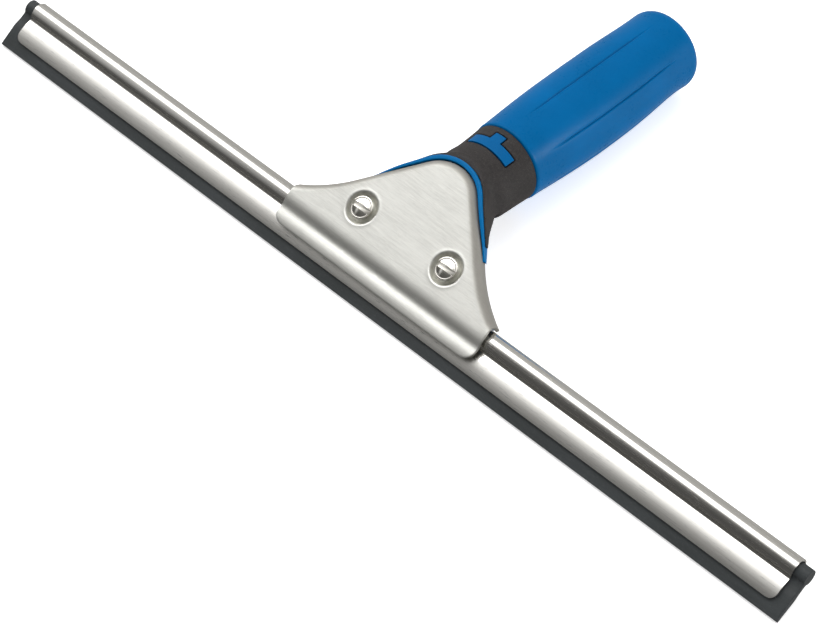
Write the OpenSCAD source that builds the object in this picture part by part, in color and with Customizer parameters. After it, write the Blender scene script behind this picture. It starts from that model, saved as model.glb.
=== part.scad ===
// Hand window squeegee: a rubber blade in a sheet channel, held between two
// stamped jaws on a two-shot handle with a pole socket.
// Blade frame used inside every module: x along the blade, y from the rubber
// lip toward the handle, z toward the screw side. pose() lays the assembly
// down on its lip and grip.

/* [Blade] */
// Length of the sheet channel
channel_length = 350; // [200:5:600]
// How far the rubber stands out of each channel end
rubber_overhang = 4.5; // [1:0.5:10]
// Height of the bead centre above the rubber lip
bead_height = 17; // [16.8:0.1:17.2]
// Radius of the rubber bead
bead_radius = 2.9; // [2.4:0.1:2.9]
// Outer radius of the channel tube
tube_radius = 3.95; // [3.95:0.01:3.98]
// Thickness of the channel sheet
channel_sheet = 0.7; // [0.5:0.1:0.7]

/* [Clamp] */
// Half width of the front jaw along the blade
jaw_half_width = 45.3; // [44:0.1:48]
// Thickness of the stamped jaw sheet
jaw_sheet = 1.2; // [0.9:0.1:1.2]
// Height of the flat front face above the blade plane
jaw_face = 6.5; // [6.5:0.1:6.8]
// Radius of the rolled upper edge of the front jaw
jaw_round = 3; // [2.6:0.1:3]
// Distance of each clamp screw from the middle
screw_x = 19.4; // [17:0.1:22]
// Height of the clamp screws above the rubber lip
screw_y = 28.1; // [27:0.1:29]
// Radius of the screw shank
screw_radius = 2.45; // [2:0.05:2.45]
// Radius of the screw head at its rim
head_radius = 4.1; // [3.8:0.05:4.15]
// Width of the screwdriver slot
slot_width = 1.7; // [1.2:0.1:1.9]

/* [Handle] */
// Angle of the handle behind the blade plane, degrees
handle_drop = 33.7; // [30:0.1:36]
// Length of the soft grip sleeve
grip_length = 87; // [80:1:87]
// Radius of the rigid core inside the sleeve
core_radius = 12.4; // [12:0.1:12.6]
// Radius of the pole socket in the handle end
socket_radius = 10.5; // [9:0.1:11]
// Depth of the pole socket
socket_depth = 60; // [40:1:66]

/* [Hidden] */

rest_tilt = 30.821;          // angle the blade plane rises from the floor
rest_y = 79.132;             // depth centring
rest_z = 0.773;              // lift onto the floor

rubber_length = channel_length + 2 * rubber_overhang;
tube_in = tube_radius - channel_sheet;
crease_r = 0.9;
skirt_r = 14.3;
skirt_c = [8.3, -11.65];
crease_c = [13.0354, 2.7938];
skirt_edge = 4.2;

shoulder = 42.77;          // direction of the straight shoulder's outward normal
shoulder_run = 25.6;
nx = cos(shoulder);
ny = sin(shoulder);
apex_c = [0, 43.6];
apex_r = 15.1;
hollow_r = 60.8;
hollow_c = apex_c + (apex_r + hollow_r) * [nx, ny] + shoulder_run * [ny, -nx];
jaw_foot = 7.5;
wall_foot = -0.3;
dish_floor = 4.1;
head_under = dish_floor + 0.05;   // bearing face of the head, on the dish floor
collar_r = 3.0;                   // plain part of the head below its flared rim
rim_z = 6.8;                      // underside of the rim
rim_land = 0.35;                  // straight side of the rim
dome_h = 0.45;                    // rise of the domed top above the rim
slot_floor = 6.1;
core_back = -5.3;
rim_foot = -1.15;
stem_o = [0, 70.8, -20.3];

// ---------- frames ----------
module pose() { translate([0, -rest_y, rest_z]) rotate([rest_tilt, 0, 0]) children(); }
module stem_frame() { translate(stem_o) rotate([-(90 + handle_drop), 0, 0]) children(); }
module along_x(len) { translate([-len / 2, 0, 0]) rotate([90, 0, 90]) linear_extrude(len) children(); }
module slab(z0, z1) { translate([0, 0, z0]) linear_extrude(z1 - z0) children(); }

// ---------- clamp outline, offset d outward ----------
function hollow_y(d, xe) = hollow_c[1] - sqrt(pow(hollow_r - d, 2) - pow(hollow_c[0] - xe, 2));
function shoulder_low(d) = [hollow_c[0] - nx * (hollow_r - d), hollow_c[1] - ny * (hollow_r - d)];
function shoulder_top(d) = [nx * (apex_r + d), apex_c[1] + ny * (apex_r + d)];
module outline(d, xe, yb) {
  a = shoulder_low(d);
  t = shoulder_top(d);
  ye = hollow_y(d, xe);
  difference() {
    union() {
      polygon([[-xe, yb], [xe, yb], [xe, ye], a, t, [0, apex_c[1]], [-t[0], t[1]], [-a[0], a[1]], [-xe, ye]]);
      translate(apex_c) circle(r = apex_r + d, $fn = 96);
    }
    for (s = [-1, 1]) translate([s * hollow_c[0], hollow_c[1]]) circle(r = hollow_r - d, $fn = 120);
  }
}

// ---------- rubber ----------
module rubber_profile() {
  union() {
    translate([bead_height, 0]) circle(r = bead_radius, $fn = 48);
    translate([11.8, -1.08]) square([4, 2.16]);
    polygon([[0, -0.9], [4, -1.2], [8.3, -1.55], [11.2, -1.15], [12, -1.08],
             [12, 1.08], [11.2, 1.15], [8.3, 1.55], [4, 1.2], [0, 0.9]]);
  }
}
module rubber_blade() color([0.16, 0.17, 0.18]) pose() along_x(rubber_length) rubber_profile();

// ---------- channel ----------
module wedge(c, p, q) { polygon([c, c + 12 * (p - c), c + 12 * (q - c)]); }
module channel_half() {
  tt = [bead_height, 0] + (tube_radius / (tube_radius + crease_r)) * (crease_c - [bead_height, 0]);
  ts = skirt_c + (skirt_r / (skirt_r + crease_r)) * (crease_c - skirt_c);
  union() {
    // tube: upper side from the top round to the crease tangent
    intersection() {
      translate([bead_height, 0]) difference() { circle(r = tube_radius, $fn = 96); circle(r = tube_in, $fn = 96); }
      polygon([[bead_height, 0], [bead_height + 9, 0], [bead_height + 9, 9], [bead_height, 9],
               [bead_height, 0] + 2.4 * (tt - [bead_height, 0])]);
    }
    // crease
    intersection() {
      translate(crease_c) difference() { circle(r = crease_r + channel_sheet, $fn = 48); circle(r = crease_r, $fn = 48); }
      polygon([crease_c, crease_c + 3 * (tt - crease_c), crease_c + [0.2, -3.4], crease_c + 3 * (ts - crease_c)]);
    }
    // skirt
    intersection() {
      translate(skirt_c) difference() { circle(r = skirt_r, $fn = 180); circle(r = skirt_r - channel_sheet, $fn = 180); }
      polygon([skirt_c, skirt_c + 1.2 * (ts - skirt_c), [skirt_edge, 6], [skirt_edge, 0]]);
    }
  }
}
module skirt_corner() {
  // rounded end corner of the skirts
  translate([channel_length / 2 - 3, skirt_edge - 1, -5]) difference() {
    translate([0, 0, 0]) cube([4, 4, 10]);
    translate([0, 4, -1]) cylinder(r = 3, h = 12, $fn = 48);
  }
}
module blade_channel() color([0.78, 0.78, 0.77]) pose() difference() {
  along_x(channel_length) union() { channel_half(); mirror([0, 1]) channel_half(); }
  for (s = [0, 1]) mirror([s, 0, 0]) skirt_corner();
}

// ---------- front jaw ----------
// rolled-edge solid: straight walls below, rounded over at the upper edge
function arc(c, r, a0, a1, n) = [for (i = [0 : n]) c + r * [cos(a0 + (a1 - a0) * i / n), sin(a0 + (a1 - a0) * i / n)]];
function half_ring(d, xe, yb) = concat([[xe, yb]],
  arc(hollow_c, hollow_r - d, atan2(hollow_y(d, xe) - hollow_c[1], xe - hollow_c[0]), shoulder - 180, 8),
  arc(apex_c, apex_r + d, shoulder, 90, 9));
function ring_pts(h) = concat(h, [for (i = [len(h) - 2 : -1 : 0]) [-h[i][0], h[i][1]]]);
module rolled(d, r, top, foot, xe, yb) {
  steps = 5;
  layers = concat([[d, foot]], [for (k = [0 : steps]) [d - r * (1 - cos(90 * k / steps)), top - r + r * sin(90 * k / steps)]]);
  rings = [for (l = layers) [for (p = ring_pts(half_ring(l[0], xe, yb))) [p[0], p[1], l[1]]]];
  n = len(rings[0]);
  m = len(rings);
  polyhedron(points = [for (g = rings) for (p = g) p],
    faces = concat([[for (i = [0 : n - 1]) i]], [[for (i = [n - 1 : -1 : 0]) (m - 1) * n + i]],
      [for (k = [0 : m - 2]) for (i = [0 : n - 1]) [k * n + i, (k + 1) * n + i, (k + 1) * n + (i + 1) % n]],
      [for (k = [0 : m - 2]) for (i = [0 : n - 1]) [k * n + i, (k + 1) * n + (i + 1) % n, k * n + (i + 1) % n]]));
}
module jaw_front_profile(lift, low, foot) {
  // side profile of the lower jaw, valley over the channel crease
  polygon([[foot, low], [foot, 5.3 + lift], [9.6, 5.45 + lift], [11.2, 5.42 + lift], [12.3, 5.24 + lift],
           [13, 5.2 + lift], [13.7, 5.36 + lift], [14.6, 5.9 + lift], [15.6, 6.26 + lift], [16.6, 6.44 + lift],
           [17.8, 6.5 + lift], [70, 6.5 + lift], [70, low]]);
}
module foot_corners(xe) {
  for (s = [0, 1]) mirror([s, 0, 0]) translate([xe - 4, jaw_foot - 1, -20]) difference() {
    cube([6, 5, 40]);
    translate([0, 5, -1]) cylinder(r = 4, h = 42, $fn = 48);
  }
}
module jaw_teeth() {
  // bent-in gripping teeth along the foot, pressing on the channel skirt
  for (i = [-2.5 : 1 : 2.5]) translate([i * 13 - 3, jaw_foot, 2.75]) cube([6, jaw_sheet, 2]);
}
module dish_out() {
  for (s = [-1, 1]) translate([s * screw_x, screw_y, dish_floor - jaw_sheet])
    cylinder(r1 = 5.6, r2 = 6.9, h = 2.4, $fn = 64);
}
module dish_cut() {
  for (s = [-1, 1]) translate([s * screw_x, screw_y, 0]) {
    translate([0, 0, dish_floor]) cylinder(r1 = 4.6, r2 = 5.95, h = 2.7, $fn = 64);
    translate([0, 0, -1]) cylinder(r = screw_radius + 0.1, h = 12, $fn = 48);
  }
}
module front_jaw() color([0.80, 0.80, 0.79]) pose() difference() {
  union() {
    difference() {
      intersection() {
        rolled(0, jaw_round, jaw_face, wall_foot, jaw_half_width, jaw_foot);
        along_x(2 * jaw_half_width) jaw_front_profile(jaw_face - 6.5, -5, jaw_foot);
      }
      intersection() {
        rolled(-jaw_sheet, jaw_round - jaw_sheet, jaw_face - jaw_sheet, wall_foot - 3, jaw_half_width + 0.02, jaw_foot - 2);
        along_x(2 * jaw_half_width + 2) jaw_front_profile(jaw_face - 6.5 - jaw_sheet, -9, jaw_foot - 4);
      }
      foot_corners(jaw_half_width);
    }
    dish_out();
    jaw_teeth();
  }
  dish_cut();
}

// ---------- rear jaw ----------
rear_half = 42;
module rear_profile() {
  polygon([[7.5, -2.78], [8.7, -2.78], [8.7, -4.1], [18.6, -4.1], [20.6, -5.3], [37, -5.3],
           [37, -6.5], [20.1, -6.5], [18.1, -5.3], [7.5, -5.3]]);
}
module rear_jaw() color([0.72, 0.73, 0.73]) pose() difference() {
  intersection() {
    along_x(2 * rear_half) rear_profile();
    slab(-9, 0) outline(-3, rear_half, jaw_foot - 1);
  }
  foot_corners(rear_half);
  for (s = [-1, 1]) translate([s * screw_x, screw_y, -12]) cylinder(r = screw_radius + 0.15, h = 12, $fn = 48);
}

// ---------- screws and nuts ----------
// head: collar on the dish floor, 45 degree flare out to the rim, domed top
dome_r = (pow(head_radius, 2) + pow(dome_h, 2)) / (2 * dome_h);
function dome_z(r) = rim_z + rim_land + dome_h - dome_r + sqrt(pow(dome_r, 2) - pow(r, 2));
module screw(s) pose() translate([s * screw_x, screw_y, 0]) difference() {
  union() {
    translate([0, 0, -10.6]) cylinder(r1 = screw_radius - 0.5, r2 = screw_radius, h = 0.5, $fn = 48);
    translate([0, 0, -10.1]) cylinder(r = screw_radius, h = head_under + 10.2, $fn = 48);
    rotate_extrude($fn = 96) polygon(concat(
      [[0, head_under], [collar_r, head_under], [collar_r, rim_z - (head_radius - collar_r)], [head_radius, rim_z]],
      [for (i = [6 : -1 : 0]) [head_radius * i / 6, dome_z(head_radius * i / 6)]]));
  }
  translate([-6, -slot_width / 2, slot_floor]) cube([12, slot_width, 3]);
}
module left_clamp_screw() color([0.83, 0.82, 0.78]) screw(-1);
module right_clamp_screw() color([0.83, 0.82, 0.78]) screw(1);

module nut(s) pose() translate([s * screw_x, screw_y, -10.3]) difference() {
  intersection() {
    cylinder(r = 4.62, h = 3.8, $fn = 6);
    cylinder(r1 = 3.9, r2 = 8.3, h = 4.4, $fn = 48);
  }
  translate([0, 0, -1]) cylinder(r = screw_radius + 0.05, h = 8, $fn = 48);
}
module left_clamp_nut() color([0.70, 0.70, 0.68]) nut(-1);
module right_clamp_nut() color([0.70, 0.70, 0.68]) nut(1);

// ---------- handle ----------
module above(y0) { intersection() { children(); translate([-60, y0]) square([120, 80]); } }
// the rim narrows to nothing toward its two ends
module rim_clip(g) {
  intersection() {
    children();
    polygon([[-27.42 - g, 36], [27.42 + g, 36], [5.5 + g, 70], [5.5 + g, 90], [-5.5 - g, 90], [-5.5 - g, 70]]);
  }
}
module handle_core() color([0.02, 0.36, 0.66]) pose() difference() {
  union() {
    // tongue between the jaws
    slab(core_back, 4.8) above(21.35) outline(-2.5, 41.5, 21.35);
    // floor under the front jaw wall, and the rim that frames the jaw
    slab(core_back, rim_foot + 0.1) above(37.9) outline(-0.25, 41.5, 30);
    slab(rim_foot, wall_foot - 0.35) rim_clip(0) above(37.9) outline(1.95, 41.5, 30);
    difference() {
      slab(rim_foot, 4.9) difference() {
        rim_clip(0) above(37.9) outline(1.95, 41.5, 30);
        outline(0.4, 41.5, 30);
      }
      translate([-60, 38, 2.2]) rotate([16, 0, 0]) translate([0, -12, 0]) cube([120, 26, 12]);
    }
    // neck of the core, blade plane to stem
    hull() {
      slab(core_back, -1) translate([0, 46]) circle(r = 9.5, $fn = 32);
      stem_frame() translate([0, 0, -4]) cylinder(r = 10.6, h = 4, $fn = 32);
    }
    stem_frame() cylinder(r = core_radius, h = grip_length - 1, $fn = 96);
  }
  stem_frame() {
    translate([0, 0, grip_length - 1 - socket_depth]) cylinder(r = socket_radius, h = socket_depth + 2, $fn = 96);
    translate([0, 0, grip_length - 2.2]) cylinder(r1 = socket_radius - 0.2, r2 = socket_radius + 1.6, h = 1.8, $fn = 96);
  }
  for (s = [-1, 1]) translate([s * screw_x, screw_y, 0]) {
    translate([0, 0, -8]) cylinder(r = screw_radius + 0.35, h = 14, $fn = 48);
    translate([0, 0, 2.4]) cylinder(r = 8.0, h = 6, $fn = 64);
  }
}

module neck_solid() {
  // head of the neck, swept in under the jaw frame and drawn into the round collar
  hull() {
    stem_frame() translate([0, 0, -14]) cylinder(r = 13.8, h = 2, $fn = 48);
    for (s = [-1, 1]) {
      translate([s * 5.5, 58.4, -8]) cylinder(r1 = 1.6, r2 = 2.8, h = 12.2, $fn = 32);
      translate([s * 13.2, 51.8, -7]) cylinder(r1 = 1.6, r2 = 2.5, h = 11.3, $fn = 32);
      translate([s * 22.6, 40.2, -1.3]) cylinder(r1 = 1.5, r2 = 1.9, h = 3.7, $fn = 32);
      translate([s * 12.0, 44.0, -7.6]) cylinder(r = 2.0, h = 5.0, $fn = 32);
    }
  }
}
module inlay_band(r0, r1) {
  // band across the front of the neck with a short tab toward the grip
  stem_frame() intersection() {
    translate([0, 0, -12]) difference() { cylinder(r = r1, h = 10, $fn = 96); translate([0, 0, -1]) cylinder(r = r0, h = 12, $fn = 96); }
    union() {
      translate([0, 0, -10.6]) linear_extrude(4.2) polygon([[0, 0], [-22.4, -28.5], [-8, -40], [8, -40], [22.4, -28.5]]);
      translate([0, 0, -10.6]) linear_extrude(7.5) polygon([[0, 0], [-4.6, -30], [4.6, -30]]);
    }
  }
}
module neck_overmould() color([0.26, 0.25, 0.25]) pose() difference() {
  union() {
    neck_solid();
    hull() stem_frame() translate([0, 0, -13.2]) cylinder(r1 = 14.0, r2 = 14.38, h = 12.9, $fn = 80);
  }
  // seat for the core head, jaws and core neck
  slab(rim_foot - 0.05, 9) rim_clip(0.03) outline(1.98, 60, 10);
  slab(rim_foot - 0.05, 9) outline(0.42, 60, 10);
  slab(core_back - 0.05, 0) outline(-0.22, 60, 10);
  translate([-60, -20, -12]) cube([120, 57.85, 30]);
  hull() {
    slab(core_back - 0.4, -0.5) translate([0, 46]) circle(r = 10, $fn = 32);
    stem_frame() translate([0, 0, -4]) cylinder(r = 11.1, h = 4.2, $fn = 32);
  }
  inlay_band(12.9, 16);
}
module neck_inlay() color([0.03, 0.42, 0.72]) pose() inlay_band(12.95, 14.15);

module grip_sleeve() color([0.0, 0.41, 0.69]) pose() stem_frame() difference() {
  rotate_extrude($fn = 128) polygon([[core_radius + 0.02, 0], [14.1, 0], [14.6, 0.25], [14.75, 0.8], [14.98, 4],
    [15.32, 10], [15.68, 16], [15.96, 22], [16.14, 28], [16.25, 34], [16.29, 40], [16.29, 46], [16.19, 52],
    [16.02, 58], [15.76, 64], [15.44, 70], [15.26, 73], [15.18, 76], [15.22, 79], [15.36, 82], [15.42, grip_length - 3],
    [15.2, grip_length - 1.85], [14.55, grip_length - 0.9], [13.6, grip_length - 0.25], [12.6, grip_length], [core_radius + 0.02, grip_length]]);
  // long finger creases, deepest at mid length
  for (a = [0, 55, -55, 110, -110]) rotate([0, 0, a]) translate([0, -(16.3 + 900 - 0.55), 43.5])
    rotate([0, 90, 0]) cylinder(r = 900, h = 0.5, center = true, $fn = 360);
}

rubber_blade();
blade_channel();
front_jaw();
rear_jaw();
left_clamp_screw();
right_clamp_screw();
left_clamp_nut();
right_clamp_nut();
handle_core();
neck_overmould();
neck_inlay();
grip_sleeve();
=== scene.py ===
import bpy, bmesh, math
import numpy as np
from mathutils import Matrix, Vector
from mathutils.geometry import delaunay_2d_cdt


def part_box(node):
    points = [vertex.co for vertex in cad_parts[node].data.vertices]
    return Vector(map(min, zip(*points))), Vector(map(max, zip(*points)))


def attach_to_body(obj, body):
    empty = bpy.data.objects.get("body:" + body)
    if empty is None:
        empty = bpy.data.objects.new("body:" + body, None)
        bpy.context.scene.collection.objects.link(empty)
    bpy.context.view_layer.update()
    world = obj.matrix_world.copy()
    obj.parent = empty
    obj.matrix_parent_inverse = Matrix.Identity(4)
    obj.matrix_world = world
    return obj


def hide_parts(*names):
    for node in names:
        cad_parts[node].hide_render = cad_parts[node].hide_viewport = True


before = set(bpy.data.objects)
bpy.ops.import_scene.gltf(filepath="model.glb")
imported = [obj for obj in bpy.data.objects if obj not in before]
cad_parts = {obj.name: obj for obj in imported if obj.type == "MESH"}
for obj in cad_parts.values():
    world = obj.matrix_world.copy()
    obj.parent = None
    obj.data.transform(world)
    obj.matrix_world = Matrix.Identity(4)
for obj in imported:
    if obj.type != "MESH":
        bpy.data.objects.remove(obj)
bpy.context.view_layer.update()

DEG = math.pi / 180

# ------------------------------------------------------------------ frames
# blade frame in mm: x along the blade, y from rubber lip to handle, z to the screw side
TILT = 30.821 * DEG
CT, ST = math.cos(TILT), math.sin(TILT)
ROT = Matrix(((1, 0, 0), (0, CT, -ST), (0, ST, CT)))


def raw(p):
    return np.stack([p[:, 0], p[:, 1] * CT - p[:, 2] * ST, p[:, 1] * ST + p[:, 2] * CT], 1) / 1000


def place():
    """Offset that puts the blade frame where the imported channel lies."""
    lo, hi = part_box("blade_channel")
    t = np.linspace(0, 2 * math.pi, 721)
    ring = np.stack([t * 0, 17 + 3.95 * np.cos(t), 3.95 * np.sin(t)], 1)
    top = raw(ring)[:, 1:].max(0)
    return np.array([(lo[0] + hi[0]) / 2, hi[1] - top[0], hi[2] - top[1]])


OFF = place()


def W(p):
    return raw(np.asarray(p, float).reshape(-1, 3)) + OFF


def wv(p):
    return Vector(W([p])[0])


# handle axis frame: s along the axis from the collar, m toward the front
AX_O = np.array([0, 70.8, -20.3])
DROP = 33.7 * DEG
AX_H = np.array([0, math.cos(DROP), -math.sin(DROP)])
AX_M = np.array([0, math.sin(DROP), math.cos(DROP)])
AX_X = np.array([1.0, 0, 0])


def stem(r, phi, s):
    r, phi, s = np.broadcast_arrays(np.asarray(r, float), np.asarray(phi, float), np.asarray(s, float))
    return AX_O + s[..., None] * AX_H + (r * np.cos(phi))[..., None] * AX_M + (r * np.sin(phi))[..., None] * AX_X


# ------------------------------------------------------------------ mesh helpers
def new_obj(name, verts, faces, mat, smooth=35, world=True):
    me = bpy.data.meshes.new(name)
    co = W(verts) if world else np.asarray(verts, float)
    me.from_pydata([tuple(v) for v in co], [], [tuple(int(i) for i in f) for f in faces])
    me.validate()
    me.update()
    o = bpy.data.objects.new(name, me)
    bpy.context.scene.collection.objects.link(o)
    if mat is not None:
        me.materials.append(mat)
    finish_mesh(o, smooth)
    return o


def finish_mesh(o, smooth=35):
    me = o.data
    bm = bmesh.new()
    bm.from_mesh(me)
    bmesh.ops.remove_doubles(bm, verts=bm.verts, dist=2e-7)
    bmesh.ops.dissolve_degenerate(bm, edges=bm.edges, dist=1e-7)
    loose = [v for v in bm.verts if not v.link_faces]
    bmesh.ops.delete(bm, geom=loose, context="VERTS")
    bmesh.ops.recalc_face_normals(bm, faces=bm.faces)
    bm.to_mesh(me)
    bm.free()
    me.polygons.foreach_set("use_smooth", [True] * len(me.polygons))
    me.set_sharp_from_angle(angle=smooth * DEG)
    me.update()


def apply_mods(o, smooth=35):
    bpy.context.view_layer.update()
    dg = bpy.context.evaluated_depsgraph_get()
    me = bpy.data.meshes.new_from_object(o.evaluated_get(dg))
    o.modifiers.clear()
    old = o.data
    o.data = me
    bpy.data.meshes.remove(old)
    finish_mesh(o, smooth)
    return o


def bevel(o, width, segs=2, angle=35, smooth=50):
    m = o.modifiers.new("bevel", "BEVEL")
    m.width = width / 1000
    m.segments = segs
    m.limit_method = "ANGLE"
    m.angle_limit = angle * DEG
    m.miter_outer = "MITER_ARC"
    m.use_clamp_overlap = True
    return apply_mods(o, smooth)


def boolean(o, cutter, op="DIFFERENCE", smooth=35):
    m = o.modifiers.new("cut", "BOOLEAN")
    m.operation = op
    m.solver = "EXACT"
    m.object = cutter
    apply_mods(o, smooth)
    bpy.data.objects.remove(cutter)
    return o


def join(name, objs):
    bpy.ops.object.select_all(action="DESELECT")
    for o in objs:
        o.select_set(True)
    bpy.context.view_layer.objects.active = objs[0]
    bpy.ops.object.join()
    o = bpy.context.view_layer.objects.active
    o.name = name
    o.data.name = name
    o.select_set(False)
    return o


def grid_faces(n, m, wrap_n=False, wrap_m=False, base=0):
    """Quads of an n by m grid of vertices, stored row by row."""
    f = []
    for i in range(n if wrap_n else n - 1):
        for j in range(m if wrap_m else m - 1):
            a, b = i, (i + 1) % n
            c, d = j, (j + 1) % m
            f.append((base + a * m + c, base + a * m + d, base + b * m + d, base + b * m + c))
    return f


def lathe(name, prof, mat, frame_fn, n=96, smooth=40, closed=False):
    """Turns a profile [(r, s)...] about an axis; frame_fn(r, phi, s) gives blade-frame points."""
    prof = np.array(prof, float)
    phi = np.arange(n) * 2 * math.pi / n
    P = frame_fn(prof[:, 0][:, None], phi[None, :], prof[:, 1][:, None]).reshape(-1, 3)
    faces = grid_faces(len(prof), n, wrap_n=closed, wrap_m=True)
    if not closed:
        if prof[0, 0] > 1e-6:
            faces.append(tuple(range(n)))
        if prof[-1, 0] > 1e-6:
            faces.append(tuple((len(prof) - 1) * n + i for i in range(n)))
    return new_obj(name, P, faces, mat, smooth)


def rounded(points, radii, seg=5):
    """Rounds the corners of a polyline or polygon profile (open path): points [(a,b)], radii per corner."""
    out = []
    n = len(points)
    for i, (p, r) in enumerate(zip(points, radii)):
        p = np.array(p, float)
        if r <= 0 or i in (0, n - 1):
            out.append(p)
            continue
        a = np.array(points[i - 1], float) - p
        b = np.array(points[i + 1], float) - p
        la, lb = np.linalg.norm(a), np.linalg.norm(b)
        a, b = a / la, b / lb
        ang = math.acos(max(-1, min(1, a @ b)))
        t = min(r / math.tan(ang / 2), la * 0.49, lb * 0.49)
        for k in range(seg + 1):
            u = k / seg
            q0, q1 = p + a * t, p + b * t
            out.append((1 - u) ** 2 * q0 + 2 * u * (1 - u) * p + u * u * q1)
    return np.array(out)


# ------------------------------------------------------------------ node helpers
class Mat:
    def __init__(self, name, **kw):
        self.m = bpy.data.materials.new(name)
        self.m.use_nodes = True
        self.t = self.m.node_tree
        self.b = next(n for n in self.t.nodes if n.type == "BSDF_PRINCIPLED")
        for k, v in kw.items():
            self.b.inputs[k].default_value = v
        tc = self.t.nodes.new("ShaderNodeTexCoord")
        self.obj = tc.outputs["Object"]
        # object coordinates turned into the blade frame, so grain runs along the blade
        mp = self.t.nodes.new("ShaderNodeMapping")
        mp.inputs["Rotation"].default_value = (-TILT, 0, 0)
        self.t.links.new(self.obj, mp.inputs["Vector"])
        self.co = mp.outputs["Vector"]

    def scaled(self, sx, sy, sz, src=None, rot=(0, 0, 0)):
        mp = self.t.nodes.new("ShaderNodeMapping")
        mp.inputs["Scale"].default_value = (sx, sy, sz)
        mp.inputs["Rotation"].default_value = rot
        self.t.links.new(src or self.co, mp.inputs["Vector"])
        return mp.outputs["Vector"]

    def noise(self, vec, scale=1.0, detail=4, rough=0.55, dist=0.0):
        n = self.t.nodes.new("ShaderNodeTexNoise")
        n.inputs["Scale"].default_value = scale
        n.inputs["Detail"].default_value = detail
        n.inputs["Roughness"].default_value = rough
        n.inputs["Distortion"].default_value = dist
        self.t.links.new(vec, n.inputs["Vector"])
        return n.outputs["Fac"]

    def voronoi(self, vec, scale=1.0, feature="F1", out="Distance"):
        n = self.t.nodes.new("ShaderNodeTexVoronoi")
        n.feature = feature
        n.inputs["Scale"].default_value = scale
        self.t.links.new(vec, n.inputs["Vector"])
        return n.outputs[out]

    def rng(self, src, a, b, c=0.0, d=1.0, smooth=False):
        n = self.t.nodes.new("ShaderNodeMapRange")
        n.interpolation_type = "SMOOTHSTEP" if smooth else "LINEAR"
        n.inputs["From Min"].default_value = a
        n.inputs["From Max"].default_value = b
        n.inputs["To Min"].default_value = c
        n.inputs["To Max"].default_value = d
        self.t.links.new(src, n.inputs["Value"])
        return n.outputs["Result"]

    def math(self, op, a, b=None):
        n = self.t.nodes.new("ShaderNodeMath")
        n.operation = op
        for i, v in enumerate((a, b)):
            if v is None:
                continue
            if isinstance(v, (int, float)):
                n.inputs[i].default_value = v
            else:
                self.t.links.new(v, n.inputs[i])
        return n.outputs[0]

    def mix(self, fac, c1, c2, mode="MIX"):
        n = self.t.nodes.new("ShaderNodeMix")
        n.data_type = "RGBA"
        n.blend_type = mode
        for sock, v in ((n.inputs[0], fac), (n.inputs[6], c1), (n.inputs[7], c2)):
            if isinstance(v, (int, float)):
                sock.default_value = v
            elif isinstance(v, (tuple, list)):
                sock.default_value = tuple(v) + ((1,) if len(v) == 3 else ())
            else:
                self.t.links.new(v, sock)
        return n.outputs[2]

    def sep(self, vec=None):
        n = self.t.nodes.new("ShaderNodeSeparateXYZ")
        self.t.links.new(vec or self.co, n.inputs[0])
        return n.outputs

    def bump(self, h, strength=0.3, dist=0.0002, normal=None):
        n = self.t.nodes.new("ShaderNodeBump")
        n.inputs["Strength"].default_value = strength
        n.inputs["Distance"].default_value = dist
        self.t.links.new(h, n.inputs["Height"])
        if normal is not None:
            self.t.links.new(normal, n.inputs["Normal"])
        return n.outputs["Normal"]

    def attr(self, name):
        n = self.t.nodes.new("ShaderNodeAttribute")
        n.attribute_name = name
        return n.outputs["Fac"]

    def to(self, sock, src):
        self.t.links.new(src, self.b.inputs[sock])
        return self


def srgb(r, g, b):
    f = lambda c: (c / 255) / 12.92 if c <= 10.3 else (((c / 255) + 0.055) / 1.055) ** 2.4
    return (f(r), f(g), f(b))


def attribute(o, name, values):
    a = o.data.attributes.new(name, "FLOAT", "POINT")
    a.data.foreach_set("value", np.asarray(values, np.float32))


def mat_rubber():
    m = Mat("rubber_slate", Roughness=0.55)
    fine = m.noise(m.scaled(900, 2600, 2600), 1.0, 5, 0.6)
    big = m.noise(m.scaled(35, 160, 160), 1.0, 4, 0.6)
    c = m.mix(m.rng(big, 0.35, 0.68), srgb(44, 48, 49), srgb(54, 58, 60))
    c = m.mix(m.rng(fine, 0.55, 0.75, 0, 0.25), c, srgb(92, 94, 94))
    m.to("Base Color", c)
    m.to("Roughness", m.rng(big, 0.3, 0.7, 0.5, 0.68))
    m.b.inputs["Specular IOR Level"].default_value = 0.4
    spots = m.noise(m.scaled(2200, 2200, 2200), 1.0, 3, 0.7)
    m.to("Normal", m.bump(spots, 0.16, 0.00006, m.bump(fine, 0.2, 0.00008)))
    return m.m


def mat_channel():
    m = Mat("steel_polished", Metallic=1.0)
    y = m.sep()[1]
    streak = m.noise(m.scaled(14, 5200, 5200), 1.0, 4, 0.65)
    scratch = m.noise(m.scaled(160, 2600, 2600, rot=(0, 0, 0.12)), 1.0, 3, 0.75)
    mark = m.rng(scratch, 0.58, 0.69)
    satin = m.attr("skirt")            # 1 on the lower skirt, 0 on the bright tube
    c = m.mix(m.rng(streak, 0.3, 0.7), srgb(222, 220, 215), srgb(238, 237, 233))
    c = m.mix(m.math("MULTIPLY", mark, m.math("MULTIPLY", satin, 0.8)), c, srgb(168, 169, 168))
    m.to("Base Color", c)
    r = m.math("ADD", m.rng(satin, 0, 1, 0.15, 0.36), m.rng(streak, 0.35, 0.7, 0, 0.08))
    m.to("Roughness", m.math("ADD", r, m.math("MULTIPLY", mark, 0.16)))
    h = m.math("ADD", m.math("MULTIPLY", streak, 0.6), m.math("MULTIPLY", mark, m.math("MULTIPLY", satin, 0.9)))
    m.to("Normal", m.bump(h, 0.10, 0.00005))
    return m.m


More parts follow.
